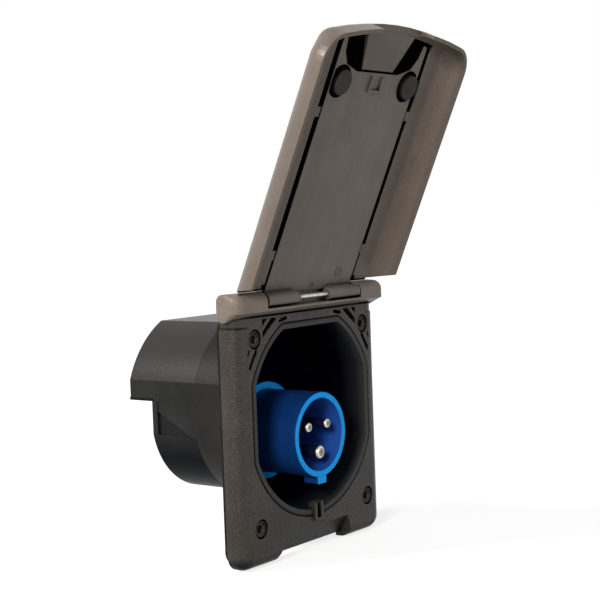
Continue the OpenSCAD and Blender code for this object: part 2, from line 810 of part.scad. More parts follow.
module phase_pin() { contact_pin(0, pin_d, shroud_front_y + pin_back); }
module neutral_pin() { contact_pin(1, pin_d, shroud_front_y + pin_back); }
module earth_pin() { contact_pin(2, earth_pin_d, shroud_front_y + pin_back - earth_lead); }

module terminal_screws() {
  for (i = [0 : 2]) color("#b8b9b6") {
    terminal_bore(pin_spots[i][0], pin_spots[i][1], terminal_turns[i], terminal_screw_r,
                  wire_hole_r - terminal_screw_in, terminal_d / 2 + terminal_screw_out);
  }
}

// The bracket's cap: a wide block with rounded front corners and a rounded upper edge
module bracket_block() {
  r = bracket_r;
  hull() {
    for (side = [-1, 1]) translate([side * (bracket_half - r), bracket_front_y + r, bracket_top - r]) {
      sphere(r, $fn = 40);
      translate([0, 0, bracket_low_front - bracket_top + r]) cylinder(h = r / 2, r = r, $fn = 40);
    }
    for (z = [bracket_low_back + bracket_back_r, bracket_top - bracket_back_r])
      translate([bracket_back_in - bracket_half, frame_back_y - bracket_back_r, z]) rotate([0, 90, 0])
        cylinder(h = 2 * (bracket_half - bracket_back_in), r = bracket_back_r, $fn = 32);
  }
}

module hinge_bracket() {
  color("#665d54") difference() {
    bracket_block();
    bar(-bracket_gap_half, bracket_gap_half)
      polygon([[bracket_front_y - cut, bracket_low_back - cut], [lip_front_y, bracket_low_back - cut],
               [lip_front_y, recess_floor_z], [recess_back_y, recess_floor_z],
               [recess_back_y, bracket_top + cut], [bracket_front_y - cut, bracket_top + cut]]);
    slab(tongue_front_y - seat, tongue_back_y + seat)
      translate([-tongue_half - seat, bracket_low_back - cut])
        square([2 * (tongue_half + seat), tongue_top - bracket_low_back + cut + seat]);
    slab(plate_y - seat, frame_back_y + cut)
      translate([-frame_half + neck_step - seat, 0])
        square([2 * (frame_half - neck_step + seat), frame_high + seat]);
    for (side = [0, 1]) mirror([side, 0, 0]) bracket_end_hollow();
    rod_x(hinge_y, hinge_z, -hinge_pin_half - seat, hinge_pin_half + seat, hinge_pin_d / 2 + fit / 2);
    for (side = [-1, 1]) {
      bracket_screw_rod(side, tongue_front_y - seat, frame_back_y + cut, bracket_screw_r + fit);
      bracket_screw_rod(side, frame_back_y - bracket_head_t, frame_back_y + cut, bracket_head_r + fit);
    }
  }
}

// The bracket's ends are hollow from below behind the hinge pin's seats
module bracket_end_hollow() {
  translate([bracket_gap_half + bracket_seat, recess_back_y, bracket_low_back - cut])
    cube([bracket_half - bracket_gap_half - bracket_seat - bracket_end_wall,
          frame_back_y - bracket_wall - recess_back_y, bracket_top - bracket_low_back - bracket_wall]);
}

module bracket_screws() {
  color("#9a9c9e") for (side = [-1, 1]) {
    bracket_screw_rod(side, tongue_front_y, frame_back_y - bracket_head_t + fit, bracket_screw_r);
    bracket_screw_rod(side, frame_back_y - bracket_head_t, frame_back_y, bracket_head_r);
  }
}

module hinge_pin() {
  color("#cfd2d4") rod_x(hinge_y, hinge_z, -hinge_pin_half, hinge_pin_half, hinge_pin_d / 2);
}

// Swings what is drawn closed to the lid's open place
module swung_open() {
  translate([0, hinge_y, hinge_z]) rotate([-lid_open, 0, 0]) translate([0, -hinge_y, -hinge_z]) children();
}

// Fills from y0 to y1 an outline drawn as x and the distance along the lid from the hinge axis
module lid_slab(y0, y1) {
  translate([0, y0, hinge_z]) rotate([-90, 0, 0]) linear_extrude(y1 - y0) children();
}

// The lid's rounded tray, inset by d, from its face at y0 to y1: straight sides, a long curve at the
// free end and round corners. Its hinge end starts at start and leans away from the hinge by lean
// for each unit of depth.
module lid_form(d, r, side_r, y0, y1, start, lean = 0) {
  end_r = lid_end_r - d - r;
  corner_r = lid_end_r - d - side_r;
  centre = lid_len - lid_end_r;
  core = lid_half - d - side_r;
  corner = asin(core / corner_r);
  spread = asin(core / end_r);
  hull() {
    for (side = [0, 1]) mirror([side, 0, 0]) {
      translate([core, 0, hinge_z - start - slice + lean * y0])
        multmatrix([[1, 0, 0, 0], [0, 1, 0, 0], [0, -lean, 1, 0], [0, 0, 0, 1]])
          linear_extrude(slice) edge_section(side_r, y0, y1, $fn = 40);
      turned(core, hinge_z - centre - corner_r * cos(corner), 0, 360, $fn = 40)
        edge_section(side_r, y0, y1);
    }
    for (a = [-spread : spread / end_steps : spread + slice])
      turned(end_r * sin(a), hinge_z - centre - end_r * cos(a), 0, 360, $fn = 32)
        edge_section(r, y0, y1);
  }
}

// A panel inside the shell, half wide, that follows the free end's curve at d from it
module end_panel(half, d, start) {
  intersection() {
    translate([-half, start]) square([2 * half, lid_len]);
    translate([0, lid_len - lid_end_r]) circle(lid_end_r - d, $fn = 360);
  }
}

// Right half of the cut-out at the liner's free end, which bellies out beside the finger pad
module liner_notch_half() {
  polygon([[-fit, pad_start - stub_gap], [notch_half_in, pad_start - stub_gap],
           for (bend = notch_bends) [bend[0], pad_start + bend[1]],
           [notch_half_out, lid_len - end_wall], [notch_half_out, lid_len + cut], [-fit, lid_len + cut]]);
}

module lid_liner() {
  color("#635a52") swung_open() {
    difference() {
      union() {
        lid_slab(liner_y - liner_t, liner_y) difference() {
          end_panel(liner_half, end_wall + end_gap, liner_start);
          for (side = [0, 1]) mirror([side, 0]) liner_notch_half();
          for (side = [-1, 1]) intersection() {
            translate([side * magnet_x, magnet_along]) circle(magnet_hole_r);
            translate([-liner_half + slot_rib, 0]) square([liner_w - 2 * slot_rib, lid_len]);
          }
        }
        for (side = [0, 1]) mirror([side, 0, 0]) {
          rod_x(hinge_y, hinge_z, barrel_in, barrel_out, barrel_d / 2);
          lid_slab(liner_y - liner_t, hinge_y)
            translate([barrel_in + seat, liner_start])
              square([liner_half - barrel_in - 2 * seat, barrel_web]);
        }
        lid_slab(liner_y - fit, liner_y + guide_h) difference() {
          translate([-guide_half - guide_w, magnet_along - guide_len / 2])
            square([2 * (guide_half + guide_w), guide_len]);
          translate([-guide_half, magnet_along - guide_len / 2 + guide_w])
            square([2 * guide_half, guide_len]);
        }
      }
      rod_x(hinge_y, hinge_z, -barrel_out - cut, barrel_out + cut, hinge_pin_d / 2 + pin_play);
    }
  }
}

// Section of the finger pad along the lid: a wedge that rises inwards to the free end
module pad_section() {
  end_z = hinge_z - lid_len - cut;
  polygon([[skin_y - fit, hinge_z - pad_start], [skin_y + pad_t, hinge_z - pad_start],
           [skin_y + pad_rise + pad_t, end_z], [skin_y - fit, end_z]]);
}

// Outline of the finger pad, d larger at each side
module pad_outline(d) {
  polygon([[-pad_half_in - d, pad_start], [pad_half_in + d, pad_start],
           [pad_half_out + d, lid_len + cut], [-pad_half_out - d, lid_len + cut]]);
}

module finger_pad() {
  intersection() {
    bar(-lid_half, lid_half) pad_section();
    lid_slab(face_y, rim_y) pad_outline(0);
    lid_form(0, lid_edge_r, lid_side_r, face_y, rim_y, heel);
  }
}

// What is taken off under the finger pad from the lid's outer face, and off the end wall above it
module pad_clearance() {
  ramp_z = hinge_z - pad_start - pad_ramp;
  intersection() {
    bar(-lid_half, lid_half) polygon([[face_y - cut, ramp_z], [face_y, ramp_z],
      [skin_y + pad_rise, hinge_z - lid_len - cut], [face_y - cut, hinge_z - lid_len - cut]]);
    lid_slab(face_y - cut, rim_y) pad_outline(-pad_t);
  }
  lid_slab(skin_y + pad_rise + pad_t, rim_y + cut)
    translate([-pad_half_out, lid_len - end_wall]) square([2 * pad_half_out, 2 * end_wall]);
}

module lid_shell() {
  color("#6a6158") swung_open() {
    difference() {
      union() {
        difference() {
          lid_form(0, lid_edge_r, lid_side_r, face_y, rim_y, heel, wing_slope);
          lid_form(rim_t, lid_edge_r - rim_t, inner_side_r, liner_y, rim_y + cut, -cut);
          lid_slab(skin_y, liner_y + cut) end_panel(pocket_half, end_wall, -cut);
        }
        finger_pad();
      }
      pad_clearance();
    }
    lid_slab(face_y + heel_in, skin_y + heel_t)
      translate([-lid_half + heel_side, heel_start]) square([2 * (lid_half - heel_side), heel_len]);
    for (side = [0, 1]) mirror([side, 0, 0]) {
      shell_ledge(ledge_start, clip_near - ledge_start, ledge_gap);
      shell_ledge(clip_near, clip_len, clip_gap);
      shell_ledge(lid_len - clip_far, clip_len, clip_gap);
    }
  }
}

// A ledge in the slot, from along to along + length, that leaves the liner a narrow gap
module shell_ledge(along, length, gap) {
  lid_slab(skin_y - fit, liner_y - seat / 2)
    translate([liner_half + gap, along]) square([slot_w - gap + seat, length]);
}

module lid_magnet(side) {
  color("#3c3a38") swung_open()
    rod_y(side * magnet_x, hinge_z - magnet_along, skin_y, liner_y + magnet_proud, magnet_d / 2);
}

module lid_magnet_left() { lid_magnet(-1); }
module lid_magnet_right() { lid_magnet(1); }

front_frame();
wall_gasket();
keeper_plate_left();
keeper_plate_right();
bowl();
bowl_screws();
rear_cover();
cover_screws();
cable_gland();
inlet_shroud();
inlet_gasket();
retaining_ring();
contact_carrier();
phase_pin();
neutral_pin();
earth_pin();
terminal_screws();
hinge_bracket();
bracket_screws();
hinge_pin();
lid_liner();
lid_shell();
lid_magnet_left();
lid_magnet_right();
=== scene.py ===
import math

import bpy
from mathutils import Matrix
from mathutils import Vector


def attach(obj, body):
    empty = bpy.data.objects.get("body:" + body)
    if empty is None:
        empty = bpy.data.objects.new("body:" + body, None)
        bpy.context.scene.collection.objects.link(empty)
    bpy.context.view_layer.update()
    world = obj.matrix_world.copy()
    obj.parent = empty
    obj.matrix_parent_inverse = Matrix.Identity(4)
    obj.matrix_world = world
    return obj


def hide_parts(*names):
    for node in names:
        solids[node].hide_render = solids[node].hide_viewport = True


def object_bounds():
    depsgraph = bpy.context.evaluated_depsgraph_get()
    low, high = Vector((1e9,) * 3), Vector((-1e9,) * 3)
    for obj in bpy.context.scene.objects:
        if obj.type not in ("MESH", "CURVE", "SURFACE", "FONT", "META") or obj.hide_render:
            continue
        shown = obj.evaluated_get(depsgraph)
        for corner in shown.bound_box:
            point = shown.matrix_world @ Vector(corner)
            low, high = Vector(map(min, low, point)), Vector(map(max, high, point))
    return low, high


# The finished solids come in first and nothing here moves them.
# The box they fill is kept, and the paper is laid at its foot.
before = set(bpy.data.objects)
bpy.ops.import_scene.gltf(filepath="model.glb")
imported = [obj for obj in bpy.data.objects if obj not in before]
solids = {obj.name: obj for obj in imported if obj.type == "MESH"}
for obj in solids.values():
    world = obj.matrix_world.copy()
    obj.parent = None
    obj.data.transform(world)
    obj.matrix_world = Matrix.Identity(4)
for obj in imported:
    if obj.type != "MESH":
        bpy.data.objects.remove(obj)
cad_low, cad_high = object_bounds()
bpy.ops.object.select_all(action="DESELECT")


# The wall frame is moulded in a dark brown grey that is a shade deeper than the lid.
# The tool was spark eroded, so the skin is matt, with a grain that shows where light rakes the rounded edge.
# A black line is painted across each of its shoulders, under the hinge bracket, as painted shadow in the step
# there.
def remap(finish, value, start, end, low, high):
    """Carries a value that runs from start to end over to the range from low to high."""
    scale = finish.node_tree.nodes.new("ShaderNodeMapRange")
    scale.inputs["From Min"].default_value = start
    scale.inputs["From Max"].default_value = end
    scale.inputs["To Min"].default_value = low
    scale.inputs["To Max"].default_value = high
    finish.node_tree.links.new(value, scale.inputs["Value"])
    return scale.outputs["Result"]


def times(finish, first, second):
    """Multiplies two values."""
    product = finish.node_tree.nodes.new("ShaderNodeMath")
    product.operation = "MULTIPLY"
    finish.node_tree.links.new(first, product.inputs[0])
    finish.node_tree.links.new(second, product.inputs[1])
    return product.outputs["Value"]


def moulded_skin(name, deep, pale, rough, gloss, grain_mm, relief, edge_mm, hollow_mm):
    """A moulded skin: slow drifts of tone, a spark-eroded grain, a painted highlight on its arrises and
    painted shade in its hollows.
    """
    finish = bpy.data.materials.new(name)
    finish.use_nodes = True
    nodes = finish.node_tree.nodes
    links = finish.node_tree.links
    shader = nodes["Principled BSDF"]
    shader.inputs["Specular IOR Level"].default_value = gloss
    place = nodes.new("ShaderNodeTexCoord")
    place.name = "place"
    drift = nodes.new("ShaderNodeTexNoise")
    drift.inputs["Scale"].default_value = 45
    drift.inputs["Detail"].default_value = 4
    tone = nodes.new("ShaderNodeValToRGB")
    tone.color_ramp.elements[0].position = 0.32
    tone.color_ramp.elements[0].color = (*deep, 1)
    tone.color_ramp.elements[1].position = 0.68
    tone.color_ramp.elements[1].color = (*pale, 1)
    links.new(place.outputs["Object"], drift.inputs["Vector"])
    links.new(drift.outputs["Fac"], tone.inputs["Fac"])

    grain = nodes.new("ShaderNodeTexNoise")
    grain.inputs["Scale"].default_value = 1000 / grain_mm
    grain.inputs["Detail"].default_value = 2
    links.new(place.outputs["Object"], grain.inputs["Vector"])
    pit = 0.3
    peak = 0.7
    uneven = 0.06
    contrast = 0.3 * relief
    sheen = remap(finish, grain.outputs["Fac"], pit, peak, rough - uneven, rough + uneven)
    speckle = remap(finish, grain.outputs["Fac"], pit, peak, 1 - contrast, 1 + contrast)
    links.new(sheen, shader.inputs["Roughness"])

    arris = nodes.new("ShaderNodeBevel")
    arris.samples = 6
    arris.inputs["Radius"].default_value = edge_mm / 1000
    bump = nodes.new("ShaderNodeBump")
    bump.inputs["Strength"].default_value = relief
    bump.inputs["Distance"].default_value = 0.0003
    links.new(grain.outputs["Fac"], bump.inputs["Height"])
    links.new(arris.outputs["Normal"], bump.inputs["Normal"])
    links.new(bump.outputs["Normal"], shader.inputs["Normal"])

    # Painted highlight: along the arrises, where the bevelled normal parts from the true face, the colour is
    # raised up to 1.6 times.
    true_face = nodes.new("ShaderNodeNewGeometry")
    at_arris = nodes.new("ShaderNodeVectorMath")
    at_arris.operation = "DOT_PRODUCT"
    links.new(arris.outputs["Normal"], at_arris.inputs[0])
    links.new(true_face.outputs["Normal"], at_arris.inputs[1])
    sharp = 0.75
    flat = 0.94
    edge_highlight_gain = 1.6
    painted_edge_highlight = remap(finish, at_arris.outputs["Value"], sharp, flat, low=edge_highlight_gain, high=1)
    speckle_and_edge_highlight = nodes.new("ShaderNodeVectorMath")
    speckle_and_edge_highlight.operation = "SCALE"
    links.new(tone.outputs["Color"], speckle_and_edge_highlight.inputs[0])
    links.new(times(finish, speckle, painted_edge_highlight), speckle_and_edge_highlight.inputs["Scale"])

    # Painted shade: where ambient occlusion finds the skin closed in, in corners, slots and recesses, its
    # colour is darkened to near black.
    hollow = nodes.new("ShaderNodeAmbientOcclusion")
    hollow.samples = 12
    hollow.inputs["Distance"].default_value = hollow_mm / 1000
    open_air = nodes.new("ShaderNodeMapRange")
    open_air.interpolation_type = "SMOOTHSTEP"
    open_air.inputs["From Min"].default_value = 0.35
    open_air.inputs["From Max"].default_value = 0.72
    painted_hollow_shade = nodes.new("ShaderNodeMix")
    painted_hollow_shade.name = "painted_hollow_shade"
    painted_hollow_shade.data_type = "RGBA"
    painted_hollow_shade.inputs[6].default_value = (0.0014, 0.0014, 0.0015, 1)
    links.new(hollow.outputs["AO"], open_air.inputs["Value"])
    links.new(open_air.outputs["Result"], painted_hollow_shade.inputs[0])
    links.new(speckle_and_edge_highlight.outputs["Vector"], painted_hollow_shade.inputs[7])
    links.new(painted_hollow_shade.outputs[2], shader.inputs["Base Color"])
    return finish


def dress(node, finish):
    """Puts a finish on one of the solids in place of its plain colour."""
    slots = solids[node].data.materials
    slots.clear()
    slots.append(finish)


def coat_over(finish, mask, colour):
    """Lays another colour on a skin where a mask is 1, under the painted shade in its hollows."""
    nodes = finish.node_tree.nodes
    links = finish.node_tree.links
    coat = nodes.new("ShaderNodeMix")
    coat.data_type = "RGBA"
    coat.inputs[7].default_value = (*colour, 1)
    skin = nodes["painted_hollow_shade"].inputs[7].links[0].from_socket
    links.new(mask, coat.inputs[0])
    links.new(skin, coat.inputs[6])
    links.new(coat.outputs[2], nodes["painted_hollow_shade"].inputs[7])
    return coat


def looks(finish):
    """Tells which way a skin faces, along X, Y and Z."""
    facing = finish.node_tree.nodes.new("ShaderNodeSeparateXYZ")
    finish.node_tree.links.new(finish.node_tree.nodes["place"].outputs["Normal"], facing.inputs["Vector"])
    return facing.outputs


def lies(finish):
    """Tells where a skin lies, along X, Y and Z, and how far it is from the middle plane."""
    nodes = finish.node_tree.nodes
    links = finish.node_tree.links
    where = nodes.new("ShaderNodeSeparateXYZ")
    sideways = nodes.new("ShaderNodeMath")
    sideways.operation = "ABSOLUTE"
    links.new(nodes["place"].outputs["Object"], where.inputs["Vector"])
    links.new(where.outputs["X"], sideways.inputs[0])
    return where.outputs, sideways.outputs["Value"]


def painted_top_light_under_shade(finish, gloss, top_light, top_light_amount, under_shade):
    """Pales what looks up with a painted top light, and darkens and dulls what looks down with painted shade.
    """
    upright = looks(finish)["Z"]
    upward = remap(finish, upright, start=0.1, end=0.7, low=0, high=top_light_amount)
    downward = remap(finish, upright, start=-0.1, end=-0.5, low=0, high=1)
    coat_over(finish, upward, top_light)
    coat_over(finish, downward, under_shade)
    dulled = remap(finish, downward, start=0, end=1, low=gloss, high=gloss * 0.2)
    shader = finish.node_tree.nodes["Principled BSDF"]
    finish.node_tree.links.new(dulled, shader.inputs["Specular IOR Level"])


def within(finish, value, low_mm, high_mm):
    """Is 1 where a length lies between two limits, and 0 elsewhere."""
    test = finish.node_tree.nodes.new("ShaderNodeMath")
    test.operation = "COMPARE"
    test.inputs[1].default_value = (low_mm + high_mm) / 2000
    test.inputs[2].default_value = (high_mm - low_mm) / 2000
    finish.node_tree.links.new(value, test.inputs[0])
    return test.outputs["Value"]


def patch(finish, first, second, colour):
    """Gives a skin another colour where two tests are both met."""
    met = times(finish, first, second)
    coat_over(finish, met, colour)
    return met


painted_shadow_black = (0.0016, 0.0017, 0.0018)
shoulder_mm = (51, 62)
neck_line_mm = (52.4, 53.6)
frame_gloss = 0.17
frame_brown = moulded_skin(
    "frame_brown", deep=(0.0325, 0.0275, 0.0243), pale=(0.0515, 0.044, 0.0392), rough=0.32,
    gloss=frame_gloss, grain_mm=1.1, relief=1.0, edge_mm=0.7, hollow_mm=6)
# Painted light and shade: the frame's upward faces are painted paler and its downward faces darker and
# duller.
painted_top_light_under_shade(
    frame_brown, gloss=frame_gloss, top_light=(0.060, 0.051, 0.045), top_light_amount=0.5,
    under_shade=(0.018, 0.0165, 0.015))
where, sideways = lies(frame_brown)
on_shoulder = within(frame_brown, sideways, *shoulder_mm)
on_neck_line = within(frame_brown, where["Z"], *neck_line_mm)
patch(frame_brown, on_shoulder, on_neck_line, painted_shadow_black)
dress("front_frame", frame_brown)


# The seals and the cable grommet are cut or moulded from black rubber.
# Rubber has no gloss and carries a pale bloom where it has been handled.
rubber_black = moulded_skin(
    "rubber_black", deep=(0.008, 0.008, 0.008), pale=(0.018, 0.017, 0.016), rough=0.82,
    gloss=0.08, grain_mm=0.9, relief=0.4, edge_mm=0.3, hollow_mm=3)
for seal in ("wall_gasket", "inlet_gasket", "cable_gland"):
    dress(seal, rubber_black)


# Six short bridges of the wall seal close the frame's corner pockets from behind.
# Each is a thin rubber bar with a thicker border, and lies within the seal's own thickness.
def settle(piece):
    """Moves a piece's place, turn and size into its mesh."""
    bpy.ops.object.select_all(action="DESELECT")
    piece.select_set(True)
    bpy.context.view_layer.objects.active = piece
    bpy.ops.object.transform_apply(location=True, rotation=True, scale=True)


def soften(piece, width, segments):
    """Breaks the sharp edges of the piece that is being worked on and smooths its rounds."""
    rounded = piece.modifiers.new("rounded", "BEVEL")
    rounded.width = width
    rounded.segments = segments
    rounded.limit_method = "ANGLE"
    bpy.ops.object.modifier_apply(modifier="rounded")
    bpy.ops.object.shade_smooth_by_angle(angle=math.radians(35))


def copies_of(piece, count):
    """The piece and so many copies of it that they make up a count, each with its own mesh."""
    family = [piece]
    for number in range(count - 1):
        copy = piece.copy()
        copy.data = piece.data.copy()
        bpy.context.scene.collection.objects.link(copy)
        family.append(copy)
    return family


bridge_long = 0.0135
bridge_wide = 0.0040
bridge_thick = 0.0007
bridge_border = 0.0006
bridge_sunk = 0.00012
bridge_round = 0.0001
bridge_y = -0.0010
bpy.ops.object.select_all(action="DESELECT")
bpy.ops.mesh.primitive_cube_add(size=1)
seal_bridge = bpy.context.active_object
seal_bridge.scale = (bridge_long, bridge_thick, bridge_wide)
settle(seal_bridge)
for face in seal_bridge.data.polygons:
    face.select = abs(face.normal.y) > 0.9
bpy.ops.object.mode_set(mode="EDIT")
bpy.ops.mesh.select_mode(type="FACE")
bpy.ops.mesh.inset(thickness=bridge_border, depth=-bridge_sunk, use_individual=True)
bpy.ops.object.mode_set(mode="OBJECT")
soften(seal_bridge, bridge_round, segments=2)
bridge_places = (
    ("seal_bridge_top_left", -26.2, 54.9, -8),
    ("seal_bridge_top_right", 26.2, 54.9, 8),
    ("seal_bridge_high_left", -35.8, 50.6, -36),
    ("seal_bridge_low_left", -49.0, 36.0, -55),
    ("seal_bridge_high_right", 35.8, 50.6, 36),
    ("seal_bridge_low_right", 49.0, 36.0, 55),
)
bridges = copies_of(seal_bridge, len(bridge_places))
for bridge, (name, across_mm, up_mm, slope) in zip(bridges, bridge_places):
    bridge.name = name
    bridge.rotation_euler = (0, math.radians(slope), 0)
    bridge.location = (across_mm / 1000, bridge_y, up_mm / 1000)
    settle(bridge)
    bridge.data.materials.append(rubber_black)
    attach(bridge, "housing")


# The wiring chamber behind the bowl is moulded in black polypropylene and screwed on from inside the bowl.
# A lock ring of the same plastic holds the shroud from behind. Painted shadow blackens the bead along the
# hood's lower edge and the rear corner below it, and a lighter painted shade lies on the triangular recess of
# each side.
bead_mm = ((53.2, 69.5), (13.2, 15.2))
rear_corner_mm = ((48.9, 50.3), (8.6, 13.8))
recess_floor_mm = (48.6, 49.0)
recess_height_mm = (-5, 9)
painted_recess_shade = (0.0085, 0.0088, 0.0105)
housing_gloss = 0.09
housing_black = moulded_skin(
    "housing_black", deep=(0.012, 0.0122, 0.0124), pale=(0.021, 0.0212, 0.0214), rough=0.33,
    gloss=housing_gloss, grain_mm=0.8, relief=0.3, edge_mm=0.6, hollow_mm=4)
# Painted light and shade: the chamber's upward faces are painted paler and its downward faces darker, with a
# cool cast, and duller.
painted_top_light_under_shade(
    housing_black, gloss=housing_gloss, top_light=(0.044, 0.043, 0.042), top_light_amount=0.62,
    under_shade=(0.0038, 0.0060, 0.0080))
where, sideways = lies(housing_black)
for deep_mm, high_mm in (bead_mm, rear_corner_mm):
    at_depth = within(housing_black, where["Y"], *deep_mm)
    at_height = within(housing_black, where["Z"], *high_mm)
    patch(housing_black, at_depth, at_height, painted_shadow_black)
on_recess_floor = within(housing_black, sideways, *recess_floor_mm)
at_recess_height = within(housing_black, where["Z"], *recess_height_mm)
patch(housing_black, on_recess_floor, at_recess_height, painted_recess_shade)
dress("rear_cover", housing_black)
dress("retaining_ring", housing_black)


# The bowl is moulded from the chamber's black plastic and pushed into the frame from behind.
# Its lip is grained like the frame, and its inner wall is painted darker with depth, to near black with a
# blue cast, as painted shade, and is dulled.
# A black line painted round the lip's outer edge is painted shadow in the groove between the lip and the
# frame.
def inner_wall(finish, axis_z_mm, start_mm, end_mm):
    """Tells the wall that looks at an axis along Y, 1, from what looks away from it, 0."""
    nodes = finish.node_tree.nodes
    links = finish.node_tree.links
    from_axis = nodes.new("ShaderNodeVectorMath")
    from_axis.operation = "SUBTRACT"
    from_axis.inputs[1].default_value = (0, 0, axis_z_mm / 1000)
    flat_normal = nodes.new("ShaderNodeVectorMath")
    flat_normal.operation = "MULTIPLY"
    flat_normal.inputs[1].default_value = (1, 0, 1)
    outward = nodes.new("ShaderNodeVectorMath")
    outward.operation = "DOT_PRODUCT"
    links.new(nodes["place"].outputs["Normal"], flat_normal.inputs[0])
    links.new(nodes["place"].outputs["Object"], from_axis.inputs[0])
    links.new(flat_normal.outputs["Vector"], outward.inputs[0])
    links.new(from_axis.outputs["Vector"], outward.inputs[1])
    return remap(finish, outward.outputs["Value"], start_mm / 1000, end_mm / 1000, low=0, high=1)


def off_axis(finish, axis_x_mm, axis_z_mm):
    """The distance of a finish's points from an axis along Y."""
    nodes = finish.node_tree.nodes
    links = finish.node_tree.links
    end_on = nodes.new("ShaderNodeVectorMath")
    end_on.operation = "MULTIPLY"
    end_on.inputs[1].default_value = (1, 0, 1)
    reach = nodes.new("ShaderNodeVectorMath")
    reach.operation = "DISTANCE"
    reach.inputs[1].default_value = (axis_x_mm / 1000, 0, axis_z_mm / 1000)
    links.new(nodes["place"].outputs["Object"], end_on.inputs[0])
    links.new(end_on.outputs["Vector"], reach.inputs[0])
    return reach.outputs["Value"]


lip_y = -0.0130
dark_y = 0.0030
lip_black = (0.043, 0.043, 0.043)
half_deep_black = (0.012, 0.0145, 0.0175)
deep_black = (0.0007, 0.0007, 0.0042)
lip_front_mm = (-14, -11)
lip_axis_z_mm = 5.2
lip_radius_mm = 53.5
lip_half_width_mm = 50
lip_top_mm = 53
sealed_mm = 0.75
past_edge_mm = 1
bowl_gloss = 0.09
bowl_black = moulded_skin(
    "bowl_black", deep=(0.011, 0.0107, 0.0104), pale=(0.021, 0.0203, 0.0197), rough=0.40,
    gloss=bowl_gloss, grain_mm=0.8, relief=0.4, edge_mm=0.5, hollow_mm=5)
where, sideways = lies(bowl_black)
# Painted shade: the inner wall's colour runs from the lip's grey to near black, blue tinted, with depth into
# the bowl.
depth = remap(bowl_black, where["Y"], lip_y, dark_y, low=0, high=1)
inside = inner_wall(bowl_black, axis_z_mm=0, start_mm=10, end_mm=4)
nodes = bowl_black.node_tree.nodes
links = bowl_black.node_tree.links
shade = nodes.new("ShaderNodeValToRGB")
shade.color_ramp.elements[0].position = 0.0
shade.color_ramp.elements[0].color = (*lip_black, 1)
shade.color_ramp.elements[1].position = 1.0
shade.color_ramp.elements[1].color = (*deep_black, 1)
half_deep = shade.color_ramp.elements.new(0.35)
half_deep.color = (*half_deep_black, 1)
painted_depth_shade = coat_over(bowl_black, inside, deep_black)
links.new(depth, shade.inputs["Fac"])
links.new(shade.outputs["Color"], painted_depth_shade.inputs[7])
deep_inside = times(bowl_black, depth, inside)
dulled = remap(bowl_black, deep_inside, start=0, end=1, low=bowl_gloss, high=0)
links.new(dulled, nodes["Principled BSDF"].inputs["Specular IOR Level"])
lip_front = within(bowl_black, where["Y"], *lip_front_mm)
lip_edges = (
    (off_axis(bowl_black, 0, lip_axis_z_mm), lip_radius_mm),
    (sideways, lip_half_width_mm),
    (where["Z"], lip_top_mm),
)
for reach, edge_mm in lip_edges:
    at_edge = within(bowl_black, reach, edge_mm - sealed_mm, edge_mm + past_edge_mm)
    patch(bowl_black, at_edge, lip_front, painted_shadow_black)
dress("bowl", bowl_black)


# The keeper discs, the terminal screws and the hinge pin are zinc plated steel.
# They are turned or headed, so fine marks run round them and the plating is a little cloudy.
def plated_metal(name, deep, pale, rough):
    """Plated metal with cloudy tone and fine tool marks."""
    finish = bpy.data.materials.new(name)
    finish.use_nodes = True
    nodes = finish.node_tree.nodes
    links = finish.node_tree.links
    shader = nodes["Principled BSDF"]
    shader.inputs["Metallic"].default_value = 1
    place = nodes.new("ShaderNodeTexCoord")
    place.name = "place"
    cloud = nodes.new("ShaderNodeTexNoise")
    cloud.inputs["Scale"].default_value = 260
    cloud.inputs["Detail"].default_value = 5
    tone = nodes.new("ShaderNodeValToRGB")
    tone.name = "tone"
    tone.color_ramp.elements[0].position = 0.3
    tone.color_ramp.elements[0].color = (*deep, 1)
    tone.color_ramp.elements[1].position = 0.7
    tone.color_ramp.elements[1].color = (*pale, 1)
    marks = nodes.new("ShaderNodeTexNoise")
    marks.inputs["Scale"].default_value = 2200
    bump = nodes.new("ShaderNodeBump")
    bump.inputs["Strength"].default_value = 0.12
    bump.inputs["Distance"].default_value = 0.0001
    links.new(place.outputs["Object"], cloud.inputs["Vector"])
    links.new(place.outputs["Object"], marks.inputs["Vector"])
    links.new(cloud.outputs["Fac"], tone.inputs["Fac"])
    links.new(tone.outputs["Color"], shader.inputs["Base Color"])
    haze = remap(finish, cloud.outputs["Fac"], start=0, end=1, low=rough - 0.08, high=rough + 0.12)
    links.new(haze, shader.inputs["Roughness"])
    links.new(marks.outputs["Fac"], bump.inputs["Height"])
    links.new(bump.outputs["Normal"], shader.inputs["Normal"])
    return finish


zinc = plated_metal("zinc_plate", deep=(0.42, 0.42, 0.41), pale=(0.62, 0.62, 0.60), rough=0.34)
for fastener in ("keeper_plate_left", "keeper_plate_right", "terminal_screws", "hinge_pin"):
    dress(fastener, zinc)


# The screws that hold the bowl and the wiring chamber are blackened, so they don't shine out of the shadow.
# Four pan heads with a cross recess are driven from the bowl's floor into the chamber.
black_oxide = plated_metal(
    "black_oxide", deep=(0.004, 0.004, 0.005), pale=(0.008, 0.008, 0.010), rough=0.42)
dress("bowl_screws", black_oxide)


def cut_away(piece, tool):
    """Takes a tool's shape out of a piece and throws the tool away."""
    bpy.ops.object.select_all(action="DESELECT")
    piece.select_set(True)
    bpy.context.view_layer.objects.active = piece
    cut = piece.modifiers.new("cut", "BOOLEAN")
    cut.operation = "DIFFERENCE"
    cut.object = tool
    bpy.ops.object.modifier_apply(modifier="cut")
    bpy.data.objects.remove(tool)


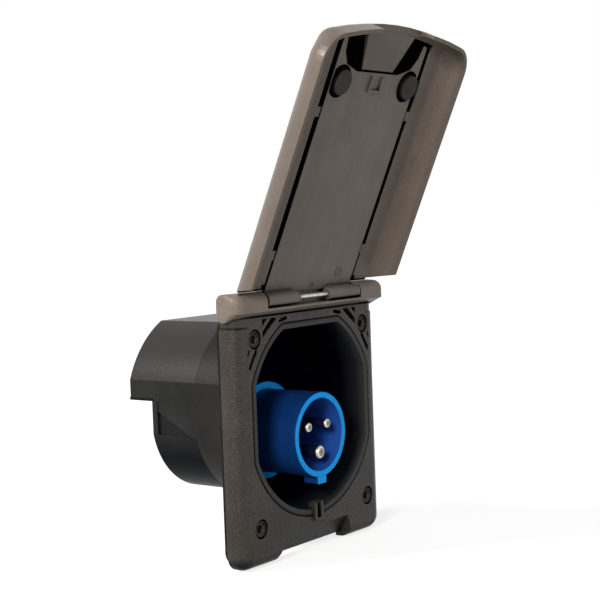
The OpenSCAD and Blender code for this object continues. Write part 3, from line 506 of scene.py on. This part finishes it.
def cross_screw(name, head_r, head_t, shank_r, shank_len, soft_edge):
    """A screw along Z with its head's top at the origin, a rounded head edge and a cross recess."""
    bpy.ops.object.select_all(action="DESELECT")
    bpy.ops.mesh.primitive_cylinder_add(
        vertices=48, radius=head_r, depth=head_t, location=(0, 0, -head_t / 2))
    screw = bpy.context.active_object
    screw.name = name
    settle(screw)
    for face in screw.data.polygons:
        face.select = face.normal.z < -0.9
    bpy.ops.object.mode_set(mode="EDIT")
    bpy.ops.mesh.select_mode(type="FACE")
    bpy.ops.mesh.inset(thickness=head_r - shank_r, depth=0)
    bpy.ops.mesh.extrude_region_move(TRANSFORM_OT_translate={"value": (0, 0, -shank_len)})
    bpy.ops.mesh.inset(thickness=shank_r * 0.3, depth=0.0004)
    bpy.ops.mesh.select_all(action="DESELECT")
    bpy.ops.object.mode_set(mode="OBJECT")
    for face in screw.data.polygons:
        face.select = face.normal.z > 0.9
    bpy.ops.object.mode_set(mode="EDIT")
    bpy.ops.mesh.bevel(offset=soft_edge, segments=4)
    bpy.ops.object.mode_set(mode="OBJECT")
    slot_long = head_r * 1.2
    slot_wide = head_r * 0.24
    slot_deep = head_t * 1.3
    for blade_turn in (20, 110):
        bpy.ops.object.select_all(action="DESELECT")
        bpy.ops.mesh.primitive_cube_add(size=1)
        blade = bpy.context.active_object
        blade.scale = (slot_long, slot_wide, slot_deep)
        blade.rotation_euler = (0, 0, math.radians(blade_turn))
        settle(blade)
        for corner in blade.data.vertices:
            if corner.co.z < 0:
                corner.co.x *= 0.5
                corner.co.y *= 0.5
        cut_away(screw, blade)
    bpy.ops.object.shade_smooth_by_angle(angle=math.radians(35))
    return screw


def drive_screws(screw, spots_mm, head_y_mm, turn):
    """Copies a screw to each spot, its head's top at a given depth, and joins them into one set."""
    drive_set = copies_of(screw, len(spots_mm))
    bpy.ops.object.select_all(action="DESELECT")
    for each, (across_mm, up_mm) in zip(drive_set, spots_mm):
        each.rotation_euler = (math.radians(turn), 0, 0)
        each.location = (across_mm / 1000, head_y_mm / 1000, up_mm / 1000)
        each.select_set(True)
    bpy.context.view_layer.objects.active = screw
    bpy.ops.object.join()
    bpy.ops.object.transform_apply(location=True, rotation=True, scale=True)


floor_spots_mm = ((-44.1, 21.2), (44.1, 21.2), (-34.53, -20.02), (34.53, -20.02))
floor_screws = cross_screw(
    "cover_screw_set", head_r=0.0026, head_t=0.0020, shank_r=0.0015, shank_len=0.0139, soft_edge=0.0007)
drive_screws(floor_screws, floor_spots_mm, head_y_mm=19.8, turn=90)
floor_screws.data.materials.append(black_oxide)
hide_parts("cover_screws")
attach(floor_screws, "housing")


# Two zinc plated screws come through the frame's tongue from behind and hold the hinge bracket.
# Their flat heads lie flush in the back of the bracket.
tongue_spots_mm = ((-25, 61), (25, 61))
tongue_screws = cross_screw(
    "bracket_screw_set", head_r=0.0025, head_t=0.0012, shank_r=0.0014, shank_len=0.0040, soft_edge=0.0002)
drive_screws(tongue_screws, tongue_spots_mm, head_y_mm=-2, turn=-90)
tongue_screws.data.materials.append(zinc)
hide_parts("bracket_screws")
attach(tongue_screws, "housing")


# Each wall screw passes through a black moulded cup that fills the frame's round recess almost to the front.
# A cup is a short tube with a countersunk mouth, rests on the collar at the recess's foot,
# and is lined with a rolled steel bush.
def recess_ring(outer, bore, length):
    """A ring along Z with its front at the origin."""
    bpy.ops.object.select_all(action="DESELECT")
    bpy.ops.mesh.primitive_cylinder_add(
        vertices=56, radius=outer, depth=length, location=(0, 0, -length / 2))
    ring = bpy.context.active_object
    settle(ring)
    bpy.ops.mesh.primitive_cylinder_add(vertices=40, radius=bore, depth=3 * length)
    drill = bpy.context.active_object
    cut_away(ring, drill)
    return ring


def set_in_recesses(ring, family, edge, front_mm, finish):
    """Breaks a ring's edges and sets a copy of it in each of the frame's four recesses."""
    soften(ring, edge, segments=3)
    corners = (
        ("high_left", -46.5, 47),
        ("high_right", 46.5, 47),
        ("low_left", -46.5, -47),
        ("low_right", 46.5, -47),
    )
    for each, (corner, across_mm, up_mm) in zip(copies_of(ring, len(corners)), corners):
        each.name = family + "_" + corner
        each.rotation_euler = (math.radians(90), 0, 0)
        each.location = (across_mm / 1000, front_mm / 1000, up_mm / 1000)
        settle(each)
        each.data.materials.append(finish)
        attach(each, "housing")


cup_outer = 0.0042
cup_length = 0.0034
cup_edge = 0.00025
cup_front_mm = -12.5
mouth_foot = 0.0022
mouth_rim = 0.0036
mouth_deep = 0.0014
mouth_z = -0.0004
bush_outer = 0.0027
bush_bore = 0.00235
bush_length = 0.0027
bush_edge = 0.0001
bush_front_mm = -11.85
screw_cup = recess_ring(cup_outer, bush_outer, cup_length)
bpy.ops.object.select_all(action="DESELECT")
bpy.ops.mesh.primitive_cone_add(
    vertices=40, radius1=mouth_foot, radius2=mouth_rim, depth=mouth_deep, location=(0, 0, mouth_z))
countersink = bpy.context.active_object
cut_away(screw_cup, countersink)
set_in_recesses(screw_cup, "screw_cup", cup_edge, cup_front_mm, housing_black)
screw_bush = recess_ring(bush_outer, bush_bore, bush_length)
dull_steel = plated_metal(
    "dull_steel", deep=(0.075, 0.074, 0.072), pale=(0.140, 0.137, 0.130), rough=0.45)
set_in_recesses(screw_bush, "screw_bush", bush_edge, bush_front_mm, dull_steel)


# The shroud is moulded in the blue that marks this voltage, with a smooth satin skin.
# Its faces that look forward, the rim, the key and the flange, are painted bright azure as painted light,
# and the inside of its bore is painted a paler blue as painted light.
painted_front_light_azure = (0.001, 0.36, 0.93)
painted_bore_light_blue = (0.020, 0.088, 0.400)
shroud_axis_z_mm = -6.4
shroud_blue = moulded_skin(
    "shroud_blue", deep=(0.004, 0.034, 0.160), pale=(0.006, 0.048, 0.225), rough=0.42,
    gloss=0.12, grain_mm=0.8, relief=0.12, edge_mm=0.5, hollow_mm=2)
# Painted light: the inside of the bore is painted a paler blue.
painted_bore_light = inner_wall(shroud_blue, shroud_axis_z_mm, start_mm=1, end_mm=-1)
# Painted light: faces that look forward are painted bright azure.
front = remap(shroud_blue, looks(shroud_blue)["Y"], start=-0.55, end=-0.85, low=0, high=1)
coat_over(shroud_blue, painted_bore_light, painted_bore_light_blue)
coat_over(shroud_blue, front, painted_front_light_azure)
dress("inlet_shroud", shroud_blue)


# The insulating disc at the shroud's foot is moulded in a darker blue.
# It holds the three contacts and is pushed into the shroud from behind.
carrier_navy = moulded_skin(
    "carrier_navy", deep=(0.010, 0.044, 0.210), pale=(0.015, 0.060, 0.270), rough=0.45,
    gloss=0.12, grain_mm=0.8, relief=0.12, edge_mm=0.4, hollow_mm=2)
dress("contact_carrier", carrier_navy)


# The contacts are turned from brass and nickel plated. Each tip is rounded and keeps the dull dimple of the
# lathe's centre, with bright and dark rings painted round it as painted highlight and shade. Behind the tip
# the shank is painted dark navy and matt, as painted shade and reflection of the shroud's inside.
def contact_with_painted_shade(name, axis_mm, radius_mm, shade_from_mm):
    """A plated contact with a centre dimple and painted highlight rings in its tip, and painted shade on its
    shank from a given depth on.
    """
    finish = plated_metal(name, deep=(0.56, 0.54, 0.48), pale=(0.78, 0.75, 0.68), rough=0.3)
    nodes = finish.node_tree.nodes
    links = finish.node_tree.links
    shader = nodes["Principled BSDF"]
    # Painted highlight and shade: the tip's colour runs from a dark centre through bright and dark rings.
    tip_dimple_and_highlight = nodes.new("ShaderNodeValToRGB")
    tip_dimple_and_highlight.color_ramp.elements[0].position = 0.10
    tip_dimple_and_highlight.color_ramp.elements[0].color = (0.08, 0.08, 0.07, 1)
    tip_dimple_and_highlight.color_ramp.elements[1].position = 1.0
    tip_dimple_and_highlight.color_ramp.elements[1].color = (0.62, 0.60, 0.55, 1)
    for position, painted_shine in ((0.24, 0.36), (0.50, 0.22), (0.66, 0.85), (0.84, 0.85)):
        ring = tip_dimple_and_highlight.color_ramp.elements.new(position)
        ring.color = (painted_shine, painted_shine * 0.98, painted_shine * 0.92, 1)
    radius = remap(finish, off_axis(finish, *axis_mm), start=0, end=radius_mm / 1000, low=0, high=1)
    plate = nodes.new("ShaderNodeMix")
    plate.data_type = "RGBA"
    plate.blend_type = "MULTIPLY"
    plate.inputs[0].default_value = 1
    links.new(radius, tip_dimple_and_highlight.inputs["Fac"])
    links.new(nodes["tone"].outputs["Color"], plate.inputs[6])
    links.new(tip_dimple_and_highlight.outputs["Color"], plate.inputs[7])

    # Painted shade: from a given depth back the shank is painted dark navy and not metallic.
    along = nodes.new("ShaderNodeSeparateXYZ")
    links.new(nodes["place"].outputs["Object"], along.inputs["Vector"])
    shank_shade_start = (shade_from_mm - 0.15) / 1000
    shank_shade_full = (shade_from_mm + 0.15) / 1000
    shank_shade = remap(finish, along.outputs["Y"], shank_shade_start, shank_shade_full, low=0, high=1)
    unshaded = remap(finish, shank_shade, start=0, end=1, low=1, high=0)
    cover = nodes.new("ShaderNodeMix")
    cover.data_type = "RGBA"
    cover.inputs[7].default_value = (0.004, 0.007, 0.035, 1)
    links.new(shank_shade, cover.inputs[0])
    links.new(plate.outputs[2], cover.inputs[6])
    links.new(cover.outputs[2], shader.inputs["Base Color"])
    links.new(unshaded, shader.inputs["Metallic"])
    return finish


live_radius_mm = 2.5
live_shade_mm = -14.9
earth_radius_mm = 3.5
earth_shade_mm = -15.6
dress("phase_pin", contact_with_painted_shade("phase_contact", (-8.01, -1.775), live_radius_mm, live_shade_mm))
dress("neutral_pin", contact_with_painted_shade("neutral_contact", (8.01, -1.775), live_radius_mm, live_shade_mm))
dress("earth_pin", contact_with_painted_shade("earth_contact", (0, -15.65), earth_radius_mm, earth_shade_mm))


# The hinge bracket and the lid's outer shell are moulded in one taupe plastic with a satin grain.
# The bracket is screwed to the frame from behind and holds the hinge pin.
bracket_taupe = moulded_skin(
    "bracket_taupe", deep=(0.160, 0.132, 0.111), pale=(0.198, 0.164, 0.138), rough=0.42,
    gloss=0.22, grain_mm=1.0, relief=0.4, edge_mm=0.8, hollow_mm=4)
dress("hinge_bracket", bracket_taupe)


# The shell is a deep tray in the same plastic, whose melt ran along the lid and left faint flow streaks.
# The floor of its pocket, under the liner, is painted near black as painted shade,
# so that the gaps beside the liner and round the magnets look bottomless.
def flow_streaks(finish, amount):
    """Lets fine streaks run along the lid's length."""
    nodes = finish.node_tree.nodes
    links = finish.node_tree.links
    lengthwise = nodes.new("ShaderNodeMapping")
    lengthwise.vector_type = "TEXTURE"
    lengthwise.inputs["Rotation"].default_value = (math.radians(24), 0, 0)
    lengthwise.inputs["Scale"].default_value = (0.0033, 0.0033, 0.0625)
    flow = nodes.new("ShaderNodeTexNoise")
    flow.inputs["Scale"].default_value = 1
    flow.inputs["Detail"].default_value = 3
    links.new(nodes["place"].outputs["Object"], lengthwise.inputs["Vector"])
    links.new(lengthwise.outputs["Vector"], flow.inputs["Vector"])
    streak = remap(finish, flow.outputs["Fac"], start=0.3, end=0.7, low=1 - amount, high=1 + amount)
    streaked = nodes.new("ShaderNodeVectorMath")
    streaked.operation = "SCALE"
    skin = nodes["painted_hollow_shade"].inputs[7].links[0].from_socket
    links.new(skin, streaked.inputs[0])
    links.new(streak, streaked.inputs["Scale"])
    links.new(streaked.outputs["Vector"], nodes["painted_hollow_shade"].inputs[7])


def measured(finish, quality, direction):
    """How far a skin's place, Object, or its facing, Normal, reaches along a direction."""
    nodes = finish.node_tree.nodes
    reach = nodes.new("ShaderNodeVectorMath")
    reach.operation = "DOT_PRODUCT"
    reach.inputs[1].default_value = direction
    finish.node_tree.links.new(nodes["place"].outputs[quality], reach.inputs[0])
    return reach.outputs["Value"]


lid_inward = (0, -0.9135, -0.4067)
lid_across = (1, 0, 0)
lid_datum_mm = -13.393
painted_pocket_shade = (0.0012, 0.0014, 0.0016)
pocket_floor_mm = (lid_datum_mm - 6.55, lid_datum_mm - 4.5)
pocket_width_mm = (-41.2, 41.2)
outside_gloss = 0.36
inside_gloss = 0.12
shell_taupe = moulded_skin(
    "shell_taupe", deep=(0.123, 0.098, 0.082), pale=(0.141, 0.113, 0.095), rough=0.34,
    gloss=0.34, grain_mm=0.9, relief=0.3, edge_mm=0.8, hollow_mm=5)
flow_streaks(shell_taupe, amount=0.045)
at_floor = within(shell_taupe, measured(shell_taupe, "Object", lid_inward), *pocket_floor_mm)
in_pocket = within(shell_taupe, measured(shell_taupe, "Object", lid_across), *pocket_width_mm)
painted_pocket_mask = patch(shell_taupe, at_floor, in_pocket, painted_pocket_shade)
looks_in = measured(shell_taupe, "Normal", lid_inward)
skin_gloss = remap(shell_taupe, looks_in, start=0.1, end=0.7, low=outside_gloss, high=inside_gloss)
unshaded = remap(shell_taupe, painted_pocket_mask, start=0, end=1, low=1, high=0)
shell_shader = shell_taupe.node_tree.nodes["Principled BSDF"]
shell_taupe.node_tree.links.new(
    times(shell_taupe, skin_gloss, unshaded), shell_shader.inputs["Specular IOR Level"])
dress("lid_shell", shell_taupe)


# The liner is a smoother sheet of the same plastic that carries the hinge barrels.
# It shows the same streaks, and its edge walls below a given depth are painted near black as painted shade.
def turn_colour(finish, colour, direction, start_mm, end_mm):
    """Lets the tone of a skin pass into another colour along a direction."""
    reach = measured(finish, "Object", direction)
    fade = remap(finish, reach, start_mm / 1000, end_mm / 1000, low=0, high=1)
    coat_over(finish, fade, colour)


liner_taupe = moulded_skin(
    "liner_taupe", deep=(0.142, 0.119, 0.101), pale=(0.170, 0.144, 0.123), rough=0.40,
    gloss=0.14, grain_mm=0.9, relief=0.15, edge_mm=0.4, hollow_mm=4)
flow_streaks(liner_taupe, amount=0.055)
turn_colour(
    liner_taupe, painted_pocket_shade, lid_inward, start_mm=lid_datum_mm - 3.9, end_mm=lid_datum_mm - 4.1)
dress("lid_liner", liner_taupe)


# Ejector pins of the mould left low round marks: two on the liner near the hinge and two on each wing.
# Each is a ring with a sunk middle, modelled once as a disc and copied.
mark_radius = 0.0025
mark_height = 0.0012
mark_ring = 0.0006
mark_sunk = 0.00055
mark_round = 0.00015
bpy.ops.object.select_all(action="DESELECT")
bpy.ops.mesh.primitive_cylinder_add(vertices=48, radius=mark_radius, depth=mark_height)
ejector_mark = bpy.context.active_object
for face in ejector_mark.data.polygons:
    face.select = face.normal.z > 0.9
bpy.ops.object.mode_set(mode="EDIT")
bpy.ops.mesh.select_mode(type="FACE")
bpy.ops.mesh.inset(thickness=mark_ring, depth=0)
bpy.ops.mesh.extrude_region_move(TRANSFORM_OT_translate={"value": (0, 0, -mark_sunk)})
bpy.ops.object.mode_set(mode="OBJECT")
soften(ejector_mark, mark_round, segments=2)
mark_places = (
    ("ejector_mark_liner_right", (22.6, -15.22, 76.45), lid_inward, 1.0, liner_taupe),
    ("ejector_mark_liner_middle", (1.9, -12.77, 71.08), lid_inward, 0.55, liner_taupe),
    ("ejector_mark_wing_far_right", (55.61, -64.10, 182.04), (-0.504, -0.722, -0.474), 0.9, shell_taupe),
    ("ejector_mark_wing_near_right", (56.37, -42.64, 133.19), (-0.522, -0.779, -0.347), 0.8, shell_taupe),
    ("ejector_mark_wing_far_left", (-55.61, -64.10, 182.04), (0.504, -0.722, -0.474), 0.9, shell_taupe),
    ("ejector_mark_wing_near_left", (-56.37, -42.64, 133.19), (0.522, -0.779, -0.347), 0.8, shell_taupe),
)
marks = copies_of(ejector_mark, len(mark_places))
for mark, (name, place_mm, faces_to, size, finish) in zip(marks, mark_places):
    mark.name = name
    mark.scale = (size, size, 1)
    mark.rotation_euler = Vector(faces_to).to_track_quat("Z", "Y").to_euler()
    mark.location = Vector(place_mm) / 1000
    settle(mark)
    mark.data.materials.append(finish)
    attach(mark, "lid")


# The magnets are pressed from dark ferrite powder, matt and faintly mottled.
# Each is glued on the skin and stands up through a round hole in the liner.
ferrite = moulded_skin(
    "ferrite", deep=(0.034, 0.028, 0.028), pale=(0.050, 0.042, 0.042), rough=0.62,
    gloss=0.1, grain_mm=0.6, relief=0.4, edge_mm=0.4, hollow_mm=3)
shadowed = (0.003, 0.003, 0.003)
turn_colour(ferrite, shadowed, lid_inward, start_mm=lid_datum_mm - 1.9, end_mm=lid_datum_mm - 3.0)
dress("lid_magnet_left", ferrite)
dress("lid_magnet_right", ferrite)


# A pale sweep of paper lies under the inlet and keeps its soft shadow.
# It is lit from below as far as the camera and shiny surfaces can see it.
def looked_at(stage):
    """Is 1 for what the camera, a shiny surface or glass sees, and 0 for the light on the inlet."""
    nodes = stage.node_tree.nodes
    links = stage.node_tree.links
    seen = nodes.new("ShaderNodeLightPath")
    mirrored = nodes.new("ShaderNodeMath")
    mirrored.operation = "ADD"
    either = nodes.new("ShaderNodeMath")
    either.operation = "ADD"
    either.use_clamp = True
    links.new(seen.outputs["Is Glossy Ray"], mirrored.inputs[0])
    links.new(seen.outputs["Is Transmission Ray"], mirrored.inputs[1])
    links.new(seen.outputs["Is Camera Ray"], either.inputs[0])
    links.new(mirrored.outputs["Value"], either.inputs[1])
    return either.outputs["Value"]


paper_size = 40
paper_drop = 0.0005
bpy.ops.mesh.primitive_plane_add(size=paper_size, location=(0, 0, cad_low.z - paper_drop))
paper = bpy.context.active_object
paper.name = "paper_floor"
white_paper = bpy.data.materials.new("white_paper")
white_paper.use_nodes = True
nodes = white_paper.node_tree.nodes
links = white_paper.node_tree.links
matt = nodes["Principled BSDF"]
matt.inputs["Base Color"].default_value = (0.5, 0.5, 0.5, 1)
matt.inputs["Roughness"].default_value = 0.9
matt.inputs["Specular IOR Level"].default_value = 0
ground = nodes.new("ShaderNodeTexCoord")
away = nodes.new("ShaderNodeVectorMath")
away.operation = "LENGTH"
links.new(ground.outputs["Object"], away.inputs[0])
near = 0.15
far = 0.8
near_glow = 0.76
far_glow = 0.96
sweep = remap(white_paper, away.outputs["Value"], near, far, near_glow, far_glow)
glow = nodes.new("ShaderNodeEmission")
both = nodes.new("ShaderNodeAddShader")
links.new(times(white_paper, looked_at(white_paper), sweep), glow.inputs["Strength"])
links.new(matt.outputs["BSDF"], both.inputs[0])
links.new(glow.outputs["Emission"], both.inputs[1])
links.new(both.outputs["Shader"], nodes["Material Output"].inputs["Surface"])
paper.data.materials.append(white_paper)


# The room is a tent of pale cloth that gives an even, slightly cool fill from all round.
# It is plain white wherever the camera sees past the inlet.
tent = bpy.data.worlds.new("light_tent")
bpy.context.scene.world = tent
tent.use_nodes = True
nodes = tent.node_tree.nodes
links = tent.node_tree.links
wall_light = nodes["Background"]
wall_light.inputs["Color"].default_value = (0.86, 0.97, 1, 1)
wall_light.inputs["Strength"].default_value = 0.2
white_wall = nodes.new("ShaderNodeBackground")
white_wall.inputs["Color"].default_value = (1, 1, 1, 1)
white_wall.inputs["Strength"].default_value = 1
choose = nodes.new("ShaderNodeMixShader")
links.new(looked_at(tent), choose.inputs["Fac"])
links.new(wall_light.outputs["Background"], choose.inputs[1])
links.new(white_wall.outputs["Background"], choose.inputs[2])
links.new(choose.outputs["Shader"], nodes["World Output"].inputs["Surface"])


# Three square soft boxes light the inlet: a warm one at the left of the camera,
# one behind at the left and a weak cool one in front.
def soft_box(name, place, aim, size, power, tint):
    """A square soft box that looks at a point."""
    lamp = bpy.data.lights.new(name, "AREA")
    lamp.shape = "SQUARE"
    lamp.size = size
    lamp.energy = power
    lamp.color = tint
    box = bpy.data.objects.new(name, lamp)
    bpy.context.scene.collection.objects.link(box)
    box.location = place
    box.rotation_mode = "QUATERNION"
    box.rotation_quaternion = (Vector(aim) - Vector(place)).to_track_quat("-Z", "Y")


soft_box("main_box", (-1.14, -0.43, 0.50), aim=(0, 0, 0.06), size=0.3, power=10.8, tint=(1, 0.94, 0.87))
soft_box("rear_box", (-0.85, 0.66, 0.82), aim=(0, 0, 0.06), size=0.35, power=13, tint=(1, 0.96, 0.92))
soft_box("front_box", (0.25, -1.15, 0.20), aim=(0, 0, 0.08), size=0.5, power=2.5, tint=(0.93, 0.97, 1))


# The camera stands at the left, a little above the inlet's middle, and is tipped a touch.
# Its place and its long lens were worked out from the frame, the shroud and the lid.
turn = math.radians(-53.16)
rise = math.radians(3.69)
tip = math.radians(-2.03)
stand = Vector((-0.5910, -0.4494, 0.1106))
back = Vector((math.sin(turn) * math.cos(rise), -math.cos(turn) * math.cos(rise), math.sin(rise)))
level = Vector((math.cos(turn), math.sin(turn), 0))
upright = back.cross(level)
across = math.cos(tip) * level + math.sin(tip) * upright
down = math.sin(tip) * level - math.cos(tip) * upright
lens = bpy.data.cameras.new("photo_camera")
lens.sensor_width = 36
lens.lens = 85.92
lens.clip_start = 0.05
lens.clip_end = 50
camera = bpy.data.objects.new("photo_camera", lens)
bpy.context.scene.collection.objects.link(camera)
camera.matrix_world = Matrix((
    (across.x, -down.x, back.x, stand.x),
    (across.y, -down.y, back.y, stand.y),
    (across.z, -down.z, back.z, stand.z),
    (0, 0, 0, 1),
))
bpy.context.scene.camera = camera
bpy.context.scene.view_settings.view_transform = "Standard"
